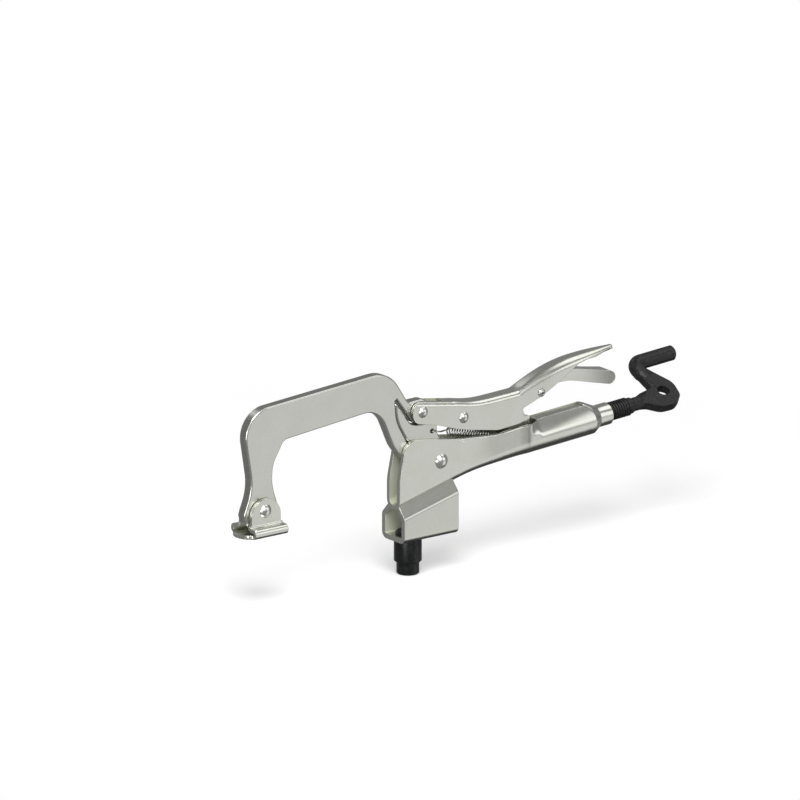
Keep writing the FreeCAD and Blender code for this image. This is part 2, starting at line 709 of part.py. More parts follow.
def release_lever():
    half, wall = size("lever_half"), size("lever_sheet")
    shape = side_prism(LEVER, half)
    inside = side_prism(LEVER, half - wall)
    inside.translate(Vector(-0.6 * wall, 0, -wall))
    nose = Part.makeBox(20.0, 4 * half, 60.0, Vector(60.0, -2 * half, 40.0))
    shape = shape.cut(inside.cut(nose))
    hole = size("lever_shank") + size("running")
    shape = shape.cut(cross_bar(size("lever_x"), size("lever_z"), hole, 20.0))
    return shaped("release_lever", shape.removeSplitter())


# Crank screw, drawn with X along its axis from the collar's end and Z towards the grip

# Outline of the flattened eye, from the centre of its hole.
CRANK_EYE = [
    (-19.3, -5.0, 0), (-15.5, -6.0, 6), (-9.0, -11.4, 8), (0.5, -12.0, 9), (7.4, -7.4, 7),
    (9.6, 3.6, 10), (3.9, 14.5, 12), (1.2, 20.0, 0), (1.2, 23.0, 0), (-5.6, 23.0, 0),
    (-5.0, 4.5, 1), (-15.5, 2.6, 0), (-19.3, 1.2, 0),
]


def crank_bar():
    """Round bar: up from the eye, round the bend and back along the grip."""
    along, throw = size("eye_along") - size("crank_back"), size("crank_throw")
    radius, bend, end = size("crank_radius"), size("crank_bend"), size("grip_end")
    flattened, round_from, rim = size("crank_half"), size("eye_offset") + 18.0, 0.9
    up, back = Vector(0, 0, 1), Vector(1, 0, 0)
    low = Vector(along, 0, round_from - 9.0)
    swell = Part.makeCone(0.9 * flattened, radius, 9.0, low, up)
    corner = Vector(along, 0, throw - bend)
    arm = Part.makeCylinder(radius, corner.z - round_from, Vector(along, 0, round_from), up)
    ring = Part.Face(Part.Wire([Part.Circle(corner, up, radius).toShape()]))
    turned = ring.revolve(corner + back * bend, Vector(0, 1, 0), 90)
    grip_start = Vector(along + bend, 0, throw)
    grip = Part.makeCylinder(radius, end - rim - grip_start.x, grip_start, back)
    tip = Part.makeCone(radius, radius - rim, rim, Vector(end - rim, 0, throw), back)
    return [swell, arm, turned, grip, tip]


def crank_screw():
    tip = along_axis(size("toe_x") + size("toe_radius") + size("toe_gap"))
    radius, shank, bevel = size("screw_radius"), size("shank_radius"), 0.8
    eye_along, eye_offset = size("eye_along"), size("eye_offset")
    thread_end, shank_end, neck = size("thread_end"), eye_along - 19.8, 5.0
    profile = [
        Vector(tip, 0, 0), Vector(tip, 0, radius - bevel), Vector(tip + bevel, 0, radius),
        Vector(thread_end - bevel, 0, radius), Vector(thread_end, 0, shank),
        Vector(thread_end, 0, 0),
    ]
    rod = Part.Face(Part.makePolygon(profile + profile[:1])).revolve(
        Vector(0, 0, 0), Vector(1, 0, 0), 360)
    back = Vector(1, 0, 0)
    plain = Part.makeCylinder(shank, shank_end, Vector(0, 0, 0), back)
    cone = Part.makeCone(shank, size("crank_half"), neck, Vector(shank_end, 0, 0), back)
    outline = [(x + eye_along, z + eye_offset, rounding) for x, z, rounding in CRANK_EYE]
    eye = side_prism(outline, size("crank_half"))
    shape = rod.fuse([plain, cone, eye] + crank_bar())
    shape = shape.cut(cross_bar(eye_along, eye_offset, size("eye_radius"), 20.0))
    shape = shape.removeSplitter()
    shape.Placement = axis_frame(-size("crank_turn"))
    return shaped("crank_screw", shape)


# Pad: folded sheet with a doubled hem on both sides and two ears

def pad():
    half, foot, sheet_size = size("pad_half"), size("pad_bottom"), size("pad_sheet")
    inner_ear = size("plate_half") + size("ear_gap")
    outer_ear = inner_ear + sheet_size
    layer = foot + sheet_size + size("hem_gap")
    hem_top = layer + sheet_size
    hem = (hem_top - foot) / 2
    slack = size("hem_gap") / 2
    above = 50.0
    right = [
        (half, foot, hem), (half, hem_top, hem), (outer_ear, hem_top, 1.6), (outer_ear, above, 0),
        (inner_ear, above, 0), (inner_ear, layer, 1.6 + sheet_size),
        (half - sheet_size, layer, slack), (half - sheet_size, foot + sheet_size, slack),
    ]
    left = [(-y, z, radius) for y, z, radius in reversed(right)]
    middle, reach = size("pad_centre_x"), size("pad_length") / 2
    folded = lifted_face(middle - reach, right + left).extrude(Vector(2 * reach, 0, 0))
    wide, ear_top = size("ear_width") / 2, size("ear_centre_z") + size("ear_radius")
    shoulder = hem_top + 1.0
    ears = [
        (middle - reach, 0, 0), (middle + reach, 0, 0), (middle + reach, shoulder, 0),
        (middle + wide, shoulder, 0), (middle + wide, ear_top, wide - 0.01),
        (middle - wide, ear_top, wide - 0.01), (middle - wide, shoulder, 0),
        (middle - reach, shoulder, 0),
    ]
    folded = folded.common(side_prism(ears, 2 * half))
    edge, bulge = half - hem, size("plate_bulge")
    plate = [
        Part.Arc(Vector(middle + reach, edge, foot), Vector(middle + reach + bulge, 0, foot),
                 Vector(middle + reach, -edge, foot)),
        Part.LineSegment(Vector(middle + reach, -edge, foot), Vector(middle - reach, -edge, foot)),
        Part.Arc(Vector(middle - reach, -edge, foot), Vector(middle - reach - bulge, 0, foot),
                 Vector(middle - reach, edge, foot)),
        Part.LineSegment(Vector(middle - reach, edge, foot), Vector(middle + reach, edge, foot)),
    ]
    bottom = Part.Face(Part.Wire([curve.toShape() for curve in plate]))
    shape = folded.fuse(bottom.extrude(Vector(0, 0, sheet_size)))
    shape = shape.cut(cross_bar(size("pad_x"), size("pad_z"), size("pad_shank"), 20.0))
    return shaped("pad", shape.removeSplitter())


# Return spring with its two hooks, and the pin that holds it in the body

def wire_run(points):
    """Round wire through the points, with ball-shaped corners."""
    radius = size("spring_wire")
    pieces = []
    for first, second in zip(points, points[1:]):
        step = second - first
        pieces.append(Part.makeCylinder(radius, step.Length, first, step))
        pieces.append(Part.makeSphere(radius, second))
    return pieces


def return_spring():
    front = Vector(size("spring_x"), 0, size("spring_z"))
    rear = Vector(size("spring_end_x"), 0, size("spring_end_z"))
    coil, wire, pitch = size("spring_coil"), size("spring_wire"), size("spring_pitch")
    length = front.distanceToPoint(rear)
    turns = int(length / pitch)
    step = length / turns
    crest, valley, bore = coil + wire, coil + 0.4 * wire, coil - wire
    profile = [Vector(0, bore, 0), Vector(0, valley, 0)]
    for turn in range(turns):
        profile.append(Vector((turn + 0.5) * step, crest, 0))
        profile.append(Vector((turn + 1.0) * step, valley, 0))
    profile.append(Vector(length, bore, 0))
    wound = Part.Face(Part.makePolygon(profile + profile[:1])).revolve(
        Vector(0, 0, 0), Vector(1, 0, 0), 360)
    slope = math.degrees(math.atan2(rear.z - front.z, rear.x - front.x))
    wound.Placement = Placement(front, Rotation(Vector(0, 1, 0), -slope))
    beside = size("plate_half") + 2 * wire
    hook_x, hook_z = size("hook_x"), size("hook_z")
    front_hook = [
        front + Vector(0.6, 0, coil), front + Vector(-0.6, 0, 0.9), Vector(21.5, -0.7 * beside, 60.2),
        Vector(18.5, -beside - 0.2, 61.0), Vector(hook_x, -beside, hook_z),
        Vector(hook_x, -0.3 * beside, hook_z),
    ]
    loop = size("anchor_radius") + wire + 0.02
    pin_x, pin_z = size("anchor_x"), size("anchor_z")
    rear_hook = [rear + Vector(-0.6, 0, coil), rear + Vector(0.7, 0, 0.9)]
    for degrees in range(130, -91, -20):
        angle = math.radians(degrees)
        rear_hook.append(Vector(pin_x + loop * math.cos(angle), 0, pin_z + loop * math.sin(angle)))
    shape = wound.fuse(wire_run(front_hook) + wire_run(rear_hook))
    return shaped("return_spring", shape)


def spring_anchor():
    body = new_body("spring_anchor")
    circle = Part.Circle(Vector(size("anchor_x"), size("anchor_z"), 0), Vector(0, 0, 1), 1.0)
    sketch = new_sketch(body, "anchor_circle", "XZ_Plane", [circle])
    sketch.addConstraint(Sketcher.Constraint("Radius", 0, 1.0))
    sketch.setExpression("Constraints[0]", "Sizes.anchor_radius")
    body.Tip = symmetric_pad(body, "anchor_pin", sketch, "2 * Sizes.anchor_half")
    doc.recompute()
    return body


def lever_rivet():
    """The release lever's rivet, with a hollow in each of its rolled ends."""
    solid = rivet("lever_rivet_solid", "lever_x", "lever_z", "lever_shank", "lever_head",
                  "lever_dome", "Sizes.lever_grip")
    drill = doc.addObject("Part::Cylinder", "lever_rivet_hollow")
    drill.Placement = Placement(Vector(0, 0, 0), Rotation(Vector(1, 0, 0), -90))
    drill.setExpression("Radius", "Sizes.lever_hollow")
    drill.Height = 40
    drill.setExpression("Placement.Base.x", "Sizes.lever_x")
    drill.Placement.Base.y = -20
    drill.setExpression("Placement.Base.z", "Sizes.lever_z")
    whole = doc.addObject("Part::Cut", "lever_rivet")
    whole.Label = "lever_rivet"
    whole.Base = solid
    whole.Tool = drill
    return whole


parts = [
    fixed_body(), base_bracket(), table_post(),
    rivet("main_rivet", "main_x", "main_z", "main_shank", "main_head", "main_dome",
          "Sizes.body_half"),
    clamp_arm(), jaw_plate(),
    upper_handle(),
    rivet("handle_rivet", "handle_x", "handle_z", "small_shank", "small_head", "small_dome",
          "Sizes.handle_half"),
    rivet("link_rivet", "link_x", "link_z", "small_shank", "small_head", "small_dome",
          "Sizes.handle_half"),
    lever_rivet(),
    toggle_link(), release_lever(), pad(),
    rivet("pad_rivet", "pad_x", "pad_z", "pad_shank", "pad_head", "pad_dome",
          "Sizes.plate_half + Sizes.ear_gap + Sizes.pad_sheet"),
    crank_screw(), spring_anchor(), return_spring(),
]
doc.recompute()

for item in doc.Objects:
    if "Invalid" in item.State or "Error" in item.State:
        raise ValueError("%s did not compute" % item.Label)

os.makedirs("parts", exist_ok=True)
for item in parts:
    shape = item.Shape
    if shape.isNull() or not shape.isValid() or len(shape.Solids) != 1:
        raise ValueError("%s is not one sound solid" % item.Label)
    shape.exportStep("parts/%s.step" % item.Label)
    print("%-16s %8.1f mm3" % (item.Label, shape.Volume))
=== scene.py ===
import json
import math

import bpy
from mathutils import Matrix, Vector


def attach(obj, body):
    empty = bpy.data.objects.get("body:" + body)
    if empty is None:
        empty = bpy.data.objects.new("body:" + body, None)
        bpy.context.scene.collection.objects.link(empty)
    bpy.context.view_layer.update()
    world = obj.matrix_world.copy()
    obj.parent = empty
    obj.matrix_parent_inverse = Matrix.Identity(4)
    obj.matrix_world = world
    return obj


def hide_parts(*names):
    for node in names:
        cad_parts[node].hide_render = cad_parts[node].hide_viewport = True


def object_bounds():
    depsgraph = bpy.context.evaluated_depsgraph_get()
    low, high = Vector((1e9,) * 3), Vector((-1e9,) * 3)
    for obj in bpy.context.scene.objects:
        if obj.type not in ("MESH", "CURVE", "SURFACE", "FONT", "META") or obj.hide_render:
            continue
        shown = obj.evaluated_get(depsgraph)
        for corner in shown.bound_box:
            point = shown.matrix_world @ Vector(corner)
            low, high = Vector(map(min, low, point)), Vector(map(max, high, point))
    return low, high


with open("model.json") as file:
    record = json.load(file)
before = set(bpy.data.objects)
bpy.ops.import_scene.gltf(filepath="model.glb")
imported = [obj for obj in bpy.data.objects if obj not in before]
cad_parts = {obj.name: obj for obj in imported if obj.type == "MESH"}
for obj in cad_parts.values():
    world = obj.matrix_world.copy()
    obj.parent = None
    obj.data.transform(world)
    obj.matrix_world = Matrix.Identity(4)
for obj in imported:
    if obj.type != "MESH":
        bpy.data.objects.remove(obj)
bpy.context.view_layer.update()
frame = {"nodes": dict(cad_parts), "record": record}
nodes = frame["nodes"]

MM = 0.001


# Colours and material nodes

def linear(text):
    """sRGB hex colour as linear RGBA."""
    channels = [int(text[i:i + 2], 16) / 255 for i in (1, 3, 5)]
    return [c / 12.92 if c <= 0.04045 else ((c + 0.055) / 1.055) ** 2.4 for c in channels] + [1.0]


def add_node(owner, kind, settings=None):
    """Add one node to a material or the world. Each setting names a property or a socket, and gives
    its value or hex colour, or else the node or socket that it is linked to."""
    tree = owner.node_tree
    node = tree.nodes.new(kind)
    for key, value in (settings or {}).items():
        if isinstance(key, str) and key not in node.inputs:
            setattr(node, key, value)
        elif isinstance(value, bpy.types.Node):
            tree.links.new(value.outputs[0], node.inputs[key])
        elif isinstance(value, bpy.types.NodeSocket):
            tree.links.new(value, node.inputs[key])
        else:
            node.inputs[key].default_value = linear(value) if isinstance(value, str) else value
    return node


def new_material(name):
    """Material with no nodes yet."""
    material = bpy.data.materials.new(name)
    material.use_nodes = True
    material.node_tree.nodes.clear()
    return material


def plated_steel(name, face, inside, edge, edge_share):
    """Satin nickel on cold-rolled steel: fine etched grain, softly broken edges, inner faces with a warm
    tint and less mirror shine as painted light that makes the insides read as lit, and sheared edges
    that are duller and carry the shear's streaks."""
    material = new_material(name)
    coordinates = add_node(material, "ShaderNodeTexCoord").outputs
    place, facing = coordinates["Object"], coordinates["Normal"]
    from_middle = add_node(material, "ShaderNodeSeparateXYZ", {"Vector": place}).outputs["Y"]
    across = add_node(material, "ShaderNodeSeparateXYZ", {"Vector": facing}).outputs["Y"]

    # a face is an inner one if it looks back at the clamp's middle plane
    outward = add_node(material, "ShaderNodeMath", {"operation": "MULTIPLY", 0: from_middle, 1: across})
    inner = add_node(material, "ShaderNodeMapRange",
                     {"Value": outward, "From Min": -0.6 * MM, "From Max": 0.0,
                      "To Min": 1.0, "To Max": 0.0})

    # plating grain, 0.35 mm so that it shows, and clouds of 12 mm in the plating's tone
    grain = add_node(material, "ShaderNodeTexNoise",
                     {"Vector": place, "Scale": 1.0 / (0.35 * MM), "Detail": 2.0})
    clouds = add_node(material, "ShaderNodeTexNoise",
                      {"Vector": place, "Scale": 1.0 / (12.0 * MM), "Detail": 3.0})
    cloud_share = add_node(material, "ShaderNodeMapRange",
                           {"Value": clouds, "From Min": 0.35, "From Max": 0.7, "To Max": 0.35})
    clouded = add_node(material, "ShaderNodeMix",
                       {"data_type": "RGBA", 0: cloud_share, 6: face, 7: inside})
    # painted light: inner faces take the warm inside tone, so the shaded folds read as lit
    plating_and_inner_light = add_node(material, "ShaderNodeMix",
                       {"data_type": "RGBA", 0: inner, 6: clouded.outputs[2], 7: inside})

    # a sheared edge faces along the plate; its streaks run across the thickness, 0.5 mm apart
    sideways = add_node(material, "ShaderNodeMath", {"operation": "ABSOLUTE", 0: across})
    sheared = add_node(material, "ShaderNodeMapRange",
                       {"Value": sideways, "From Min": 0.25, "From Max": 0.6,
                        "To Min": edge_share, "To Max": 0.0})
    squeezed = add_node(material, "ShaderNodeMapping", {"Vector": place, "Scale": (1.0, 0.06, 1.0)})
    streaks = add_node(material, "ShaderNodeTexNoise",
                       {"Vector": squeezed, "Scale": 1.0 / (0.5 * MM), "Detail": 2.0})
    streaked = add_node(material, "ShaderNodeMix", {"data_type": "RGBA", 0: streaks, 6: edge, 7: face})
    colour = add_node(material, "ShaderNodeMix",
                      {"data_type": "RGBA", 0: sheared, 6: plating_and_inner_light.outputs[2], 7: streaked.outputs[2]})

    # the grain makes the shine uneven, and a sheared edge is 0.12 rougher
    etched = add_node(material, "ShaderNodeMapRange",
                      {"Value": grain, "From Min": 0.3, "From Max": 0.7, "To Min": 0.18, "To Max": 0.28})
    rough = add_node(material, "ShaderNodeMath",
                     {"operation": "MULTIPLY_ADD", 0: sheared, 1: 0.12, 2: etched})
    ridges = add_node(material, "ShaderNodeMath", {"operation": "MULTIPLY", 0: sheared, 1: streaks})
    height = add_node(material, "ShaderNodeMath",
                      {"operation": "MULTIPLY_ADD", 0: grain, 1: 0.5, 2: ridges})
    broken_edge = add_node(material, "ShaderNodeBevel", {"samples": 6, "Radius": 0.35 * MM})
    bump = add_node(material, "ShaderNodeBump",
                    {"Height": height, "Normal": broken_edge, "Strength": 0.2, "Distance": 0.02 * MM})
    # inner faces mirror less and show more of their warm tint: painted light that makes the insides read
    # as lit
    mirroring = add_node(material, "ShaderNodeMapRange", {"Value": inner, "To Min": 1.0, "To Max": 0.15})
    shader = add_node(material, "ShaderNodeBsdfPrincipled",
                      {"Base Color": colour.outputs[2], "Roughness": rough, "Normal": bump,
                       "Metallic": mirroring})
    add_node(material, "ShaderNodeOutputMaterial", {"Surface": shader})
    return material


def blackened_steel(name, base, worn, rough_low, rough_high, spot_mm):
    """Blackened steel: nearly black oxide with small mottled spots where the scale is thinner."""
    material = new_material(name)
    place = add_node(material, "ShaderNodeTexCoord").outputs["Object"]
    spots = add_node(material, "ShaderNodeTexNoise",
                     {"Vector": place, "Scale": 1.0 / (spot_mm * MM), "Detail": 4.0})
    thinner = add_node(material, "ShaderNodeMapRange",
                       {"Value": spots, "From Min": 0.45, "From Max": 0.75})
    colour = add_node(material, "ShaderNodeMix", {"data_type": "RGBA", 0: thinner, 6: base, 7: worn})
    rough = add_node(material, "ShaderNodeMapRange",
                     {"Value": spots, "From Min": 0.3, "From Max": 0.7,
                      "To Min": rough_low, "To Max": rough_high})
    # scale grain of 0.5 mm, as coarse as it needs to be to show
    grain = add_node(material, "ShaderNodeTexNoise",
                     {"Vector": place, "Scale": 1.0 / (0.5 * MM), "Detail": 2.0})
    broken_edge = add_node(material, "ShaderNodeBevel", {"samples": 6, "Radius": 0.3 * MM})
    bump = add_node(material, "ShaderNodeBump",
                    {"Height": grain, "Normal": broken_edge, "Strength": 0.35, "Distance": 0.05 * MM})
    shader = add_node(material, "ShaderNodeBsdfPrincipled",
                      {"Base Color": colour.outputs[2], "Roughness": rough, "Normal": bump,
                       "Metallic": 0.55})
    add_node(material, "ShaderNodeOutputMaterial", {"Surface": shader})
    return material


# folded sheet has an even shine on its faces and bends, and its warmer inside tone is painted light
folded_nickel = plated_steel("satin_nickel_on_folded_sheet", "#D2D3CD", "#C9CBB9", "#8E8F8B", 0.0)
# the base's thick sheet is a shade darker outside, and its lighter inside tone is painted light
base_nickel = plated_steel("satin_nickel_on_thick_sheet", "#CBCCC6", "#D2D4C2", "#8E8F8B", 0.0)
# punched plate shows its cut: dull grey edges with streaks
punched_nickel = plated_steel("satin_nickel_on_punched_plate", "#CDCEC8", "#C4C5BB", "#7A7B77", 0.8)
# the headed rivets are the brightest
rivet_nickel = plated_steel("bright_nickel_on_rivets", "#DEDFDA", "#D6D7CF", "#B0B1AD", 0.0)
# drawn wire is a plain, greyer steel
spring_wire = plated_steel("drawn_spring_wire", "#C4C5C1", "#A8A9A4", "#7A7B77", 0.0)
# the turned post is blacker and glossier than the forged crank
black_post = blackened_steel("black_oxide_on_turned_post", "#1E2020", "#343636", 0.28, 0.42, 1.6)
black_forging = blackened_steel("black_oxide_on_forged_crank", "#242525", "#424241", 0.35, 0.55, 0.9)


# Pieces that stand for their solids

def clear_selection():
    bpy.ops.object.select_all(action="DESELECT")


def select_only(piece):
    clear_selection()
    piece.select_set(True)
    bpy.context.view_layer.objects.active = piece


def merged_copy(node, name):
    """Copy of a solid, without its tags and with its doubled corners merged."""
    select_only(nodes[node])
    bpy.ops.object.duplicate()
    piece = bpy.context.view_layer.objects.active
    for key in list(piece.keys()):
        del piece[key]
    piece.name = name
    piece.parent = None
    bpy.ops.object.mode_set(mode="EDIT")
    bpy.ops.mesh.select_all(action="SELECT")
    bpy.ops.mesh.remove_doubles(threshold=0.002 * MM)
    bpy.ops.object.mode_set(mode="OBJECT")
    return piece


def shaded(piece):
    """Curved faces smooth, and the normals of the flat ones kept straight."""
    bpy.ops.object.shade_smooth_by_angle(angle=math.radians(28))
    bpy.ops.object.modifier_add(type="WEIGHTED_NORMAL")
    piece.modifiers[-1].keep_sharp = True
    bpy.ops.object.modifier_apply(modifier=piece.modifiers[-1].name)


def resize_corners(piece, wanted, factors):
    """Scale the corners whose place is wanted, by factors from the origin."""
    bpy.ops.object.mode_set(mode="EDIT")
    bpy.ops.mesh.select_mode(type="VERT")
    bpy.ops.mesh.select_all(action="DESELECT")
    bpy.ops.object.mode_set(mode="OBJECT")
    for corner in piece.data.vertices:
        corner.select = wanted(corner.co)
    bpy.ops.object.mode_set(mode="EDIT")
    bpy.ops.transform.resize(value=factors, center_override=(0, 0, 0))
    bpy.ops.object.mode_set(mode="OBJECT")


# The screw, whose axis leans up by the tube's tilt and leaves the collar at its end

SCREW_RADIUS, THREAD_PITCH, THREAD_DEPTH = 5.5 * MM, 1.75 * MM, 0.75 * MM
CORE_RADIUS = SCREW_RADIUS - THREAD_DEPTH
# the thread starts inside the tube and ends just before the round shank does, behind the collar
THREAD_INSIDE, THREAD_TURNS, TURN_CORNERS = 52.0 * MM, 38, 28
SHANK_END = 17.0 * MM
COLLAR_END = Vector((143.3, 0.0, 49.42)) * MM
TILT = math.radians(3.9)
SCREW_COURSE = Vector((math.cos(TILT), 0.0, math.sin(TILT)))
SCREW_UPWARD = Vector((-SCREW_COURSE.z, 0.0, SCREW_COURSE.x))


def along_screw(distance):
    """Matrix that lays Z along the screw, from a point at a distance behind the collar's end."""
    start = COLLAR_END + SCREW_COURSE * distance
    return Matrix.Translation(start) @ SCREW_COURSE.to_track_quat("Z", "Y").to_matrix().to_4x4()


def screw_thread():
    """Ridge of the thread: a pointed section wound about Z, and then laid along the screw."""
    clear_selection()
    bpy.ops.mesh.primitive_circle_add(vertices=4, radius=1.0, location=(0, 0, 0),
                                      rotation=(math.radians(90), 0, 0))
    ridge = bpy.context.view_layer.objects.active
    ridge.name = "screw_thread"
    ridge.scale = (THREAD_DEPTH, THREAD_PITCH / 2, 1.0)
    ridge.location = (CORE_RADIUS, 0, 0)
    bpy.ops.object.transform_apply(location=True, rotation=True, scale=True)
    bpy.ops.object.modifier_add(type="SCREW")
    winding = ridge.modifiers[-1]
    winding.axis = "Z"
    winding.steps = TURN_CORNERS
    winding.render_steps = TURN_CORNERS
    winding.iterations = THREAD_TURNS
    winding.screw_offset = THREAD_PITCH
    winding.use_merge_vertices = False
    bpy.ops.object.modifier_apply(modifier=winding.name)
    # both ends of the ridge are closed, and its faces turned outwards
    bpy.ops.object.mode_set(mode="EDIT")
    bpy.ops.mesh.select_all(action="DESELECT")
    bpy.ops.mesh.select_mode(type="EDGE")
    bpy.ops.mesh.select_non_manifold()
    bpy.ops.mesh.edge_face_add()
    bpy.ops.mesh.select_all(action="SELECT")
    bpy.ops.mesh.normals_make_consistent(inside=False)
    bpy.ops.object.mode_set(mode="OBJECT")
    ridge.data.transform(along_screw(-THREAD_INSIDE))
    return ridge


def thinned_core(piece):
    """The screw's shank, as thin as its core under the thread."""
    upright = along_screw(0.0)
    inner, outer = SCREW_RADIUS - 0.2 * MM, SCREW_RADIUS + 0.1 * MM
    share = CORE_RADIUS / SCREW_RADIUS
    piece.data.transform(upright.inverted())
    resize_corners(piece,
                   lambda spot: inner < math.hypot(spot.x, spot.y) < outer and spot.z < SHANK_END,
                   (share, share, 1.0))
    piece.data.transform(upright)


# The spring, in mm: its wire, its coil, and its loop about the hidden pin

WIRE_RADIUS, COIL_RADIUS, COIL_TURNS, COIL_STEPS = 0.45, 2.0, 15, 16
COIL_START, COIL_END = Vector((29.0, 0.0, 58.4)), Vector((56.5, 0.0, 52.0))
SPRING_PIN, LOOP_RADIUS = Vector((63.5, 0.0, 46.5)), 2.02
COIL_COURSE = (COIL_END - COIL_START).normalized()
COIL_UPWARD = Vector((-COIL_COURSE.z, 0.0, COIL_COURSE.x))


def wire(name, run):
    """Round wire along a run of points in mm."""
    curve = bpy.data.curves.new(name, "CURVE")
    curve.dimensions = "3D"
    curve.bevel_depth = WIRE_RADIUS * MM
    curve.bevel_resolution = 2
    curve.use_fill_caps = True
    line = curve.splines.new("POLY")
    line.points.add(len(run) - 1)
    for point, spot in zip(line.points, run):
        point.co = (*(spot * MM), 1.0)
    piece = bpy.data.objects.new(name, curve)
    bpy.context.scene.collection.objects.link(piece)
    select_only(piece)
    bpy.ops.object.convert(target="MESH")
    bpy.ops.object.shade_smooth_by_angle(angle=math.radians(50))
    return bpy.context.view_layer.objects.active


def front_hook():
    """From the hole in the jaw plate, round its near side and back to the coil's first turn."""
    return wire("spring_front_hook", [
        Vector((14.8, -1.3, 61.8)), Vector((14.8, -3.9, 61.8)), Vector((15.4, -4.4, 61.7)),
        Vector((18.5, -4.5, 61.0)), Vector((21.5, -3.0, 60.2)),
        COIL_START - 0.6 * COIL_COURSE + 0.9 * COIL_UPWARD,
        COIL_START + (COIL_RADIUS - 0.1) * COIL_UPWARD,
    ])


def coil_and_loop():
    """The coil, and the loop from its last turn over the hidden pin, behind it and under it."""
    run = []
    for step in range(COIL_TURNS * COIL_STEPS + 1):
        angle = 2 * math.pi * step / COIL_STEPS
        along = (COIL_END - COIL_START) * step / (COIL_TURNS * COIL_STEPS)
        around = COIL_RADIUS * (math.cos(angle) * COIL_UPWARD + Vector((0.0, math.sin(angle), 0.0)))
        run.append(COIL_START + along + around)
    run.append(COIL_END + 0.7 * COIL_COURSE + 0.9 * COIL_UPWARD)
    for degrees in range(130, -91, -20):
        angle = math.radians(degrees)
        run.append(SPRING_PIN + LOOP_RADIUS * Vector((math.cos(angle), 0.0, math.sin(angle))))
    return wire("spring_coil", run)


# The release lever's tail, in mm: where it starts to spread, where it ends and by how much, the
# cuts that let it bend, and the lever's half width

TAIL_START, TAIL_END, TAIL_SPREAD = 117.0, 146.0, 3.0
TAIL_CUTS, CUT_SPACING = 15, 2.0
LEVER_HALF = 3.4


def spread_tail(piece):
    """The release lever's walls spread towards the end of its tail."""
    bpy.ops.object.mode_set(mode="EDIT")
    for cut in range(TAIL_CUTS):
        bpy.ops.mesh.select_all(action="SELECT")
        bpy.ops.mesh.bisect(plane_co=((TAIL_START + CUT_SPACING * cut) * MM, 0, 0), plane_no=(1, 0, 0))
    bpy.ops.object.mode_set(mode="OBJECT")
    stations = sorted({round(corner.co.x / MM, 1) for corner in piece.data.vertices})
    for station in [x for x in stations if x > TAIL_START]:
        spread = TAIL_SPREAD * ((station - TAIL_START) / (TAIL_END - TAIL_START)) ** 2
        resize_corners(piece, lambda spot: round(spot.x / MM, 1) == station,
                       (1.0, 1.0 + spread / LEVER_HALF, 1.0))


# The strip over the tube's slot: its size, the gap from its end to the collar's end, its top above
# the screw's axis, and how far it lies off the middle

STRIP_LENGTH, STRIP_WIDTH, STRIP_SHEET = 33.0 * MM, 6.5 * MM, 1.5 * MM
STRIP_GAP, STRIP_TOP, STRIP_ASIDE = 19.4 * MM, 9.6 * MM, 0.65 * MM


def roof_strip():
    """The far wall's fold, which covers the tube's slot but for a slit along the near edge."""
    clear_selection()
    bpy.ops.mesh.primitive_cube_add(size=1.0)
    strip = bpy.context.view_layer.objects.active
    strip.name = "roof_strip"
    strip.scale = (STRIP_LENGTH, STRIP_WIDTH, STRIP_SHEET)
    strip.rotation_euler = (0.0, -TILT, 0.0)
    strip.location = (COLLAR_END - SCREW_COURSE * (STRIP_GAP + STRIP_LENGTH / 2)
                      + SCREW_UPWARD * (STRIP_TOP - STRIP_SHEET / 2) + Vector((0.0, STRIP_ASIDE, 0.0)))
    bpy.ops.object.transform_apply(location=True, rotation=True, scale=True)
    bpy.ops.object.modifier_add(type="BEVEL")
    strip.modifiers[-1].width = 0.35 * MM
    strip.modifiers[-1].segments = 3
    bpy.ops.object.modifier_apply(modifier=strip.modifiers[-1].name)
    bpy.ops.object.shade_smooth_by_angle(angle=math.radians(40))
    return strip


FINISHES = {
    "fixed_body": folded_nickel, "base_bracket": base_nickel, "upper_handle": folded_nickel,
    "pad": folded_nickel, "release_lever": folded_nickel,
    "clamp_arm": punched_nickel, "jaw_plate": punched_nickel, "toggle_link": punched_nickel,
    "main_rivet": rivet_nickel, "handle_rivet": rivet_nickel, "link_rivet": rivet_nickel,
    "lever_rivet": rivet_nickel, "pad_rivet": rivet_nickel, "spring_anchor": rivet_nickel,
    "table_post": black_post, "crank_screw": black_forging,
}
RESHAPED = {"crank_screw": thinned_core, "release_lever": spread_tail}


def body_of_node(node):
    """The moving body that a solid belongs to."""
    for body, members in frame["record"]["behaviour"]["bodies"].items():
        if node in members:
            return body


def finished(piece, finish):
    """The piece with one finish all over."""
    piece.data.materials.clear()
    piece.data.materials.append(finish)
    return piece


for node, finish in FINISHES.items():
    piece = finished(merged_copy(node, node + "_finished"), finish)
    if node in RESHAPED:
        RESHAPED[node](piece)
    shaded(piece)
    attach(piece, body_of_node(node))
    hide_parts(node)

for piece, node, finish in ((screw_thread(), "crank_screw", black_forging),
                            (coil_and_loop(), "return_spring", spring_wire),
                            (roof_strip(), "fixed_body", folded_nickel)):
    finished(piece, finish)
    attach(piece, body_of_node(node))
    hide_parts(node)

# the hook's far end is in the jaw plate, so it goes with the jaw
hook = finished(front_hook(), spring_wire)
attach(hook, "jaw")


# Floor, light and camera

FLOOR_GLOW = 0.28
# distances from the clamp between which the floor fades into plain white
FADE_START, FADE_END = 0.22, 0.42
ROOM, WORLD_STRENGTH = "#646464", 2.2
